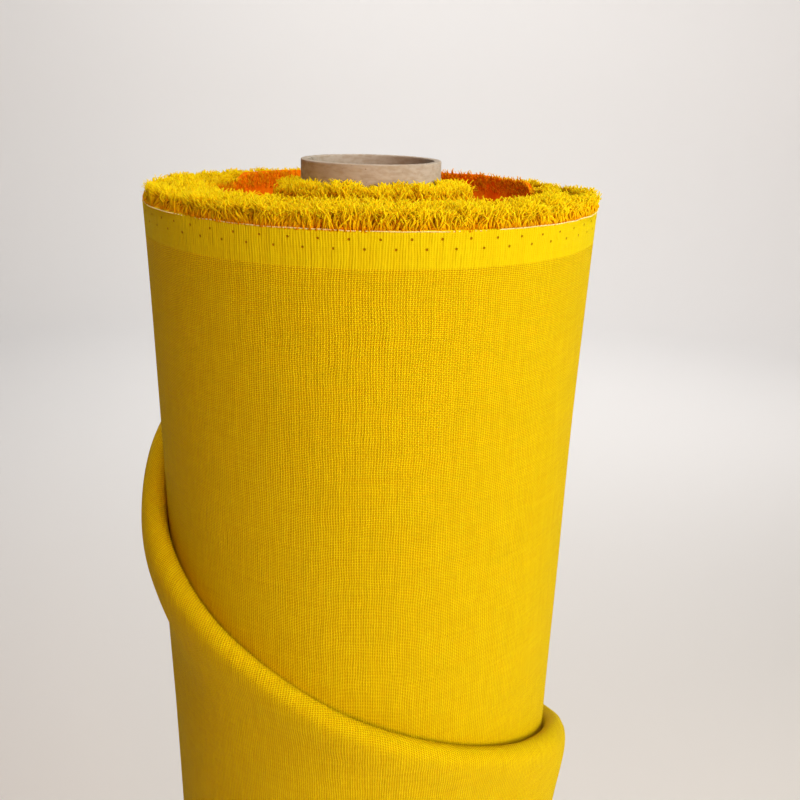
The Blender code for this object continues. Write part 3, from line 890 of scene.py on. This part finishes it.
def outer_fringe():
    """The outer turns' ends, as five pieces of neighbouring turns. Crept and parted places are bare."""
    edge = float(roll_radius(top_selvedge)) - 0.0005
    feet = feet_in_ring(hollow_radius, edge, ROW_PITCH, WEFT_PITCH, np.random.default_rng(101))
    x, y, turn, row = feet.T
    away = np.hypot(x, y)
    height = outer_turns_rise(turn, away)
    bare = (height > CREPT_RISE * 0.3) | (height < -PARTED_DEPTH * 0.25)
    feet = feet[~bare]
    row = feet[:, 3]
    bands = ((0, 2, 4, 6), (2, 5, 3, 5), (5, 9, 2, 5), (9, 14, 2, 5), (14, 99, 2, 5))
    for number, (first, last, strands, steps) in enumerate(bands):
        chosen = feet[(row >= first) & (row < last)]
        piece = top_fringe(f"weft_ends_outer_turns_{number + 1}", chosen, top_selvedge, outer_turns_rise,
                           strands, steps, fluff, OUTER_ENDS, lean=0.95, seed=103 + 2 * number)
        if number == 0:
            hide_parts("top_fringe_outer")


outer_fringe()
middle_feet = feet_in_ring(ring_at(inner_high.x), middle_high.x - HOLLOW_SHIFT, 0.0016, 0.0012,
                           np.random.default_rng(121))
middle_ends = top_fringe("weft_ends_middle_turns", middle_feet, middle_high.z, level, 1, 4, shaded_fluff,
                         MIDDLE_ENDS, lean=0.6, seed=123)
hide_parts("top_fringe_middle")
inner_feet = feet_in_ring(ring_at(tube_radius + 0.0008), inner_high.x - RING_GAP, ROW_PITCH, WEFT_PITCH,
                          np.random.default_rng(125))
inner_ends = top_fringe("weft_ends_inner_turns", inner_feet, inner_high.z, level, 3, 5, fluff,
                        INNER_ENDS, lean=0.45, seed=127, tubeward=0.25)
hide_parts("top_fringe_inner")


def wall_ends():
    """Short loose ends that cling to the wall of the hollow, and stand along its crept rim."""
    rng = np.random.default_rng(131)
    count = WALL_ENDS_COUNT
    turn = rng.uniform(0, 2 * math.pi, count)
    away = hollow_radius(turn)
    down = rng.uniform(0.0002, 0.0085, count)
    lengths = rng.uniform(*WALL_ENDS, count)
    smooth_rim = within(turn, (math.radians(86), math.radians(152)), 0.1)
    lengths = np.where(smooth_rim > 0.5, np.minimum(lengths, down * 0.95), lengths)
    outward = np.stack([np.cos(turn), np.sin(turn)], axis=-1)
    sideways = np.stack([-np.sin(turn), np.cos(turn)], axis=-1)
    rise = outer_turns_rise(turn, away + 0.0003)
    bases = np.stack([away * np.cos(turn), away * np.sin(turn), top_selvedge + rise - down], axis=-1)
    lean_xy = sideways * rng.normal(0, 0.5, (count, 1)) - outward * rng.uniform(0.05, 0.32, (count, 1))
    leaning, upright = flat_lean(lean_xy)
    radii = YARN_END_RADIUS * rng.uniform(0.45, 0.9, count)
    curl = rng.uniform(0.03, 0.20, count)
    yarn_ends("weft_ends_on_hollow_wall", shaded_fluff, swayed(bases), upright, leaning,
              np.maximum(lengths, 0.0006), radii, curl, 4, 132)


wall_ends()


def bottom_fringe(where, inner, outer, row_pitch, end_pitch, seed):
    """Crushed ends under the roll's foot, swept outward along the floor."""
    rng = np.random.default_rng(seed)
    x, y, turn, _ = feet_in_ring(inner, outer, row_pitch, end_pitch, rng).T
    count = len(x)
    outward = np.stack([np.cos(turn), np.sin(turn)], axis=-1) + flow(x, y, 79, 0.012) * 0.5
    rise = np.concatenate([outward, np.full((count, 1), -0.75)], axis=1)
    lean = np.concatenate([outward * 0.35, np.full((count, 1), 0.30)], axis=1)
    bases = np.stack([x, y, np.full(count, bottom_selvedge + 0.0003)], axis=-1)
    lengths = rng.uniform(*FOOT_ENDS, count)
    radii = np.full(count, YARN_END_RADIUS * CRUSHED)
    curl = rng.uniform(0.02, 0.08, count)
    piece = yarn_ends("weft_ends_foot_" + where, fluff, bases, rise, lean, lengths, radii, curl, 4, seed + 1)
    keep_above_floor(piece)
    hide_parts("bottom_fringe_" + where)


def keep_above_floor(piece):
    """Presses flat whatever would reach through the floor."""
    lowest = YARN_END_RADIUS * 0.2
    places = np.zeros(len(piece.data.vertices) * 3, np.float32)
    piece.data.vertices.foreach_get("co", places)
    places = places.reshape(-1, 3)
    under = places[:, 2] < lowest
    places[under, 2] = lowest * (0.2 + 0.8 * np.exp((places[under, 2] - lowest) / 0.002))
    piece.data.vertices.foreach_set("co", places.reshape(-1))


foot_radius = float(roll_radius(bottom_selvedge))
bottom_fringe("outer", lambda turn: hollow_radius(turn) + 0.001, foot_radius - 0.0005, 0.0016, 0.0012, 111)
bottom_fringe("middle", ring_at(inner_high.x + 0.001), middle_high.x - HOLLOW_SHIFT, 0.0022, 0.0016, 113)
bottom_fringe("inner", ring_at(tube_radius + 0.001), inner_high.x - 0.0005, 0.0020, 0.0016, 115)


def walked_along(line):
    """How far each point of a line lies along it."""
    return np.concatenate([[0], np.cumsum(np.linalg.norm(np.diff(line, axis=0), axis=1))])


def places_along(line, walked, distances):
    return np.stack([np.interp(distances, walked, line[:, axis]) for axis in range(3)], axis=-1)


def hem_fringe():
    """The crushed ends under the loose lap's hem."""
    rng = np.random.default_rng(117)
    hem = lap_places[-1]
    walked = walked_along(hem)
    distances = np.repeat(np.arange(0.0002, walked[-1], WEFT_PITCH), 2)
    count = len(distances)
    feet = places_along(hem, walked, distances)
    feet[:, 2] += 0.0004
    outward = feet[:, :2] / np.linalg.norm(feet[:, :2], axis=1, keepdims=True)
    outward = outward * rng.uniform(0.5, 1.4, (count, 1)) + flow(feet[:, 0], feet[:, 1], 83, 0.010) * 0.6
    rise = np.concatenate([outward * 0.6, np.full((count, 1), -1.0)], axis=1)
    lean = np.concatenate([outward * 0.45, np.full((count, 1), 0.45)], axis=1)
    lengths = rng.uniform(*HEM_ENDS, count)
    radii = np.full(count, YARN_END_RADIUS * CRUSHED)
    curl = rng.uniform(0.02, 0.10, count)
    piece = yarn_ends("weft_ends_lap_hem", fluff, feet, rise, lean, lengths, radii, curl, 4, 118)
    keep_above_floor(piece)
    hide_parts("bottom_fringe_lap")
    return piece


hem_ends = hem_fringe()

# ---------------------------------------------------------------------------------------------
# Raw end. The lap was cut straight across with shears, so the ends of its warp yarns have worked
# loose down the whole edge, and a few weft yarns have dropped out of the cut.

CUT_ENDS = (0.0015, 0.0065)
CUT_END_RADIUS = 0.00024
CUT_LEAN = ((0, 0.12), (0, 0.12), (-0.25, 0.22))  # along X, Y and Z, its middle and its spread


def raw_end():
    rng = np.random.default_rng(131)
    edge = lap_places[:, -1]
    before = lap_places[:, -3]
    walked = walked_along(edge)
    distances = np.arange(0.001, walked[-1] - 0.001, WARP_PITCH * 1.25)
    count = len(distances)
    feet = places_along(edge, walked, distances)
    forward = feet - places_along(before, walked, distances)
    forward /= np.linalg.norm(forward, axis=1, keepdims=True)
    lean = np.stack([rng.normal(middle, spread, count) for middle, spread in CUT_LEAN], axis=-1)
    tufts = 1 + 0.6 * np.sin(distances * 60) * np.sin(distances * 23 + 1)
    lengths = rng.uniform(*CUT_ENDS, count) * tufts
    radii = np.full(count, CUT_END_RADIUS)
    curl = rng.uniform(0.02, 0.12, count)
    feet -= forward * 0.0006
    return yarn_ends("warp_ends_at_cut", fluff, feet, forward, lean, lengths, radii, curl, 5, 132)


cut_ends = raw_end()

# ---------------------------------------------------------------------------------------------
# Catch threads. Two fine cream threads twist round each other along each selvedge and lock the
# weft ends in place. They show in dashes, and clear only where they ride over the yellow weft.

CATCH_RADIUS = 0.00012
CATCH_COLUMNS = 2880
CATCH_TWIST = 420  # turns of the pair round the roll
CATCH_SUNK = 0.00042
CATCH_PROUD = 0.00012
CATCH_INSET = 0.0003  # distance in from the selvedge
CATCH_DASH = 0.00012
CATCH_UNEVEN = 0.00010
CATCH_WAVER = 0.00012
CATCH_CLEAR = ((-157, -137), (-91, -73), (-64, -2), (60, 110), (136, 171))  # stretches in degrees
CATCH_LIGHT = (0.95, 0.88, 0.46)
CATCH_DARK = (0.84, 0.66, 0.20)


def catch_material():
    nodes = Nodes("cream_thread", roughness=0.75, specular=0.2)
    along, around = nodes.measured()
    fibres = nodes.noise(nodes.times(along, 900.0), nodes.times(around, 2000.0))
    nodes.bump(fibres, 0.00008)
    return nodes.colour(nodes.mix(nodes.fade(fibres, 0.3, 0.6), CATCH_DARK, CATCH_LIGHT))


cream = catch_material()


def catch_thread(name, node, height, direction, seed):
    turn = np.arange(CATCH_COLUMNS) * 2 * math.pi / CATCH_COLUMNS
    uneven = ripples(turn, 0 * turn, seed, (20, 90), (1, 2))
    clear = sum(within(turn, np.radians(stretch), 0.06) for stretch in CATCH_CLEAR)
    dashes = np.cos(turn * int(2 * math.pi * ROLL_RADIUS / WEFT_PITCH / 2))
    sunk = CATCH_SUNK * (1 - clear) - CATCH_DASH * dashes * (1 - 0.6 * clear) - CATCH_UNEVEN * uneven
    strands = []
    for strand in range(2):
        spin = CATCH_TWIST * turn + strand * math.pi
        radius = roll_radius(height) + CATCH_PROUD - sunk + CATCH_RADIUS * 0.8 * np.cos(spin)
        up = height + direction * CATCH_INSET + CATCH_RADIUS * 0.8 * np.sin(spin)
        up = up + CATCH_WAVER * ripples(turn, 0 * turn, seed + 1, (5, 40), (1, 2))
        ring = [step * math.pi / 3 for step in (0, 1, 2, 3, 4, 5, 0)]
        radii = np.array([radius + CATCH_RADIUS * math.cos(angle) for angle in ring])
        heights = np.array([up + CATCH_RADIUS * math.sin(angle) for angle in ring])
        places = turned_places(radii, heights, CATCH_COLUMNS)[::-1].copy()
        shape = (7, CATCH_COLUMNS + 1)
        lengths = np.broadcast_to(np.linspace(0, 2 * math.pi * ROLL_RADIUS, CATCH_COLUMNS + 1), shape)
        around = np.broadcast_to(np.linspace(0, 2 * math.pi * CATCH_RADIUS, 7)[:, None], shape)
        strands.append(surface(f"{name}_{strand + 1}", swayed(places), lengths, around))
    for strand in strands:
        strand.data.materials.append(cream)
        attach(strand, BODY)
    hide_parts(node)


catch_thread("catch_thread_top", "top_catch_thread", top_selvedge, -1, 141)
catch_thread("catch_thread_foot", "bottom_catch_thread", bottom_selvedge, 1, 143)

# ---------------------------------------------------------------------------------------------
# Studio. A pale sweep of floor that turns up into a wall far off all round. A broad soft lamp
# stands at the right, two warmer ones in front, one hangs above, and two light the wall behind.

FLOOR_COLOUR = (0.80, 0.79, 0.785)
FLOOR_FLAT = 5.5
FLOOR_CURVE = 1.5
WALL_TOP = 4.2
LENS = 39.52
CAMERA_BACK = 0.3884
CAMERA_ABOVE_TUBE = 0.0279
CAMERA_DOWN = math.radians(19.41)
CAMERA_TURN = math.radians(2.22)
CAMERA_ROLL = math.radians(1.55)
NEAREST_DRAWN = 0.02
ROOM_COLOUR = (0.95, 0.97, 1.0, 1.0)
ROOM_STRENGTH = 0.03
# Each lamp's name, place, what it points at, its side, its watts and its colour.
LAMPS = (
    ("key_light", (2.1, -1.5, 2.1), (0, 0, 1.25), 2.2, 67.0, (0.95, 1.0, 0.93)),
    ("front_light", (1.3, -2.4, 2.2), (0, 0, 1.25), 1.4, 23.0, (1.0, 0.90, 0.74)),
    ("warm_fill", (0.3, -2.8, 2.2), (0, 0, 1.25), 1.4, 27.0, (1.0, 0.34, 0.08)),
    ("top_light", (0.0, 0.3, 3.6), (0, 0, 1.4), 1.4, 38.0, (1.0, 0.88, 0.75)),
    ("back_light", (0.0, 3.6, 4.0), (0, 5.5, 0.5), 2.5, 122.0, (1.0, 1.0, 1.0)),
    ("back_light_right", (2.5, 3.0, 2.5), (1.5, 6.5, 1.2), 2.0, 30.0, (1.0, 0.97, 0.95)),
)


def studio_floor():
    curve = np.linspace(0, math.pi / 2, 14)
    profile = [(r, 0.0) for r in np.linspace(0.02, FLOOR_FLAT, 20)[:-1]]
    profile += [(FLOOR_FLAT + FLOOR_CURVE * math.sin(a), FLOOR_CURVE * (1 - math.cos(a))) for a in curve]
    profile += [(FLOOR_FLAT + FLOOR_CURVE, z) for z in np.linspace(FLOOR_CURVE, WALL_TOP, 5)[1:]]
    profile = np.array(profile)
    profile[0, 0] = 0.0005
    places = turned_places(profile[:, 0], profile[:, 1], 96)
    lengths = np.broadcast_to(np.arange(97) / 96.0, (len(profile), 97))
    outward = np.broadcast_to(profile[:, :1], lengths.shape)
    floor = surface("studio_floor", places[::-1].copy(), lengths, outward)
    nodes = Nodes("pale_paint", roughness=0.9, specular=0.1)
    floor.data.materials.append(nodes.colour(FLOOR_COLOUR))


def make_lamp(name, place, target, side, watts, colour):
    data = bpy.data.lights.new(name, "AREA")
    data.shape = "RECTANGLE"
    data.size = side
    data.size_y = side
    data.energy = watts
    data.color = colour
    lamp = bpy.data.objects.new(name, data)
    bpy.context.scene.collection.objects.link(lamp)
    lamp.location = place
    lamp.rotation_euler = (Vector(target) - Vector(place)).to_track_quat("-Z", "Y").to_euler()


def make_camera():
    level_share = math.cos(CAMERA_DOWN)
    forward = Vector((math.sin(CAMERA_TURN) * level_share, math.cos(CAMERA_TURN) * level_share,
                      -math.sin(CAMERA_DOWN)))
    level = Vector((math.cos(CAMERA_TURN), -math.sin(CAMERA_TURN), 0.0))
    upright = level.cross(forward)
    right = math.cos(CAMERA_ROLL) * level + math.sin(CAMERA_ROLL) * upright
    up = -math.sin(CAMERA_ROLL) * level + math.cos(CAMERA_ROLL) * upright
    data = bpy.data.cameras.new("camera")
    data.lens = LENS
    data.sensor_width = 36.0
    data.clip_start = NEAREST_DRAWN
    camera = bpy.data.objects.new("camera", data)
    bpy.context.scene.collection.objects.link(camera)
    turned = Matrix((right, up, -forward)).transposed()
    place = (0.0, -CAMERA_BACK, tube_high.z + CAMERA_ABOVE_TUBE)
    camera.matrix_world = Matrix.Translation(place) @ turned.to_4x4()
    bpy.context.scene.camera = camera


studio_floor()
for lamp in LAMPS:
    make_lamp(*lamp)
world = bpy.data.worlds.new("pale_room")
world.use_nodes = True
world.node_tree.nodes["Background"].inputs[0].default_value = ROOM_COLOUR
world.node_tree.nodes["Background"].inputs[1].default_value = ROOM_STRENGTH
bpy.context.scene.world = world
bpy.context.scene.view_settings.view_transform = "Standard"
make_camera()
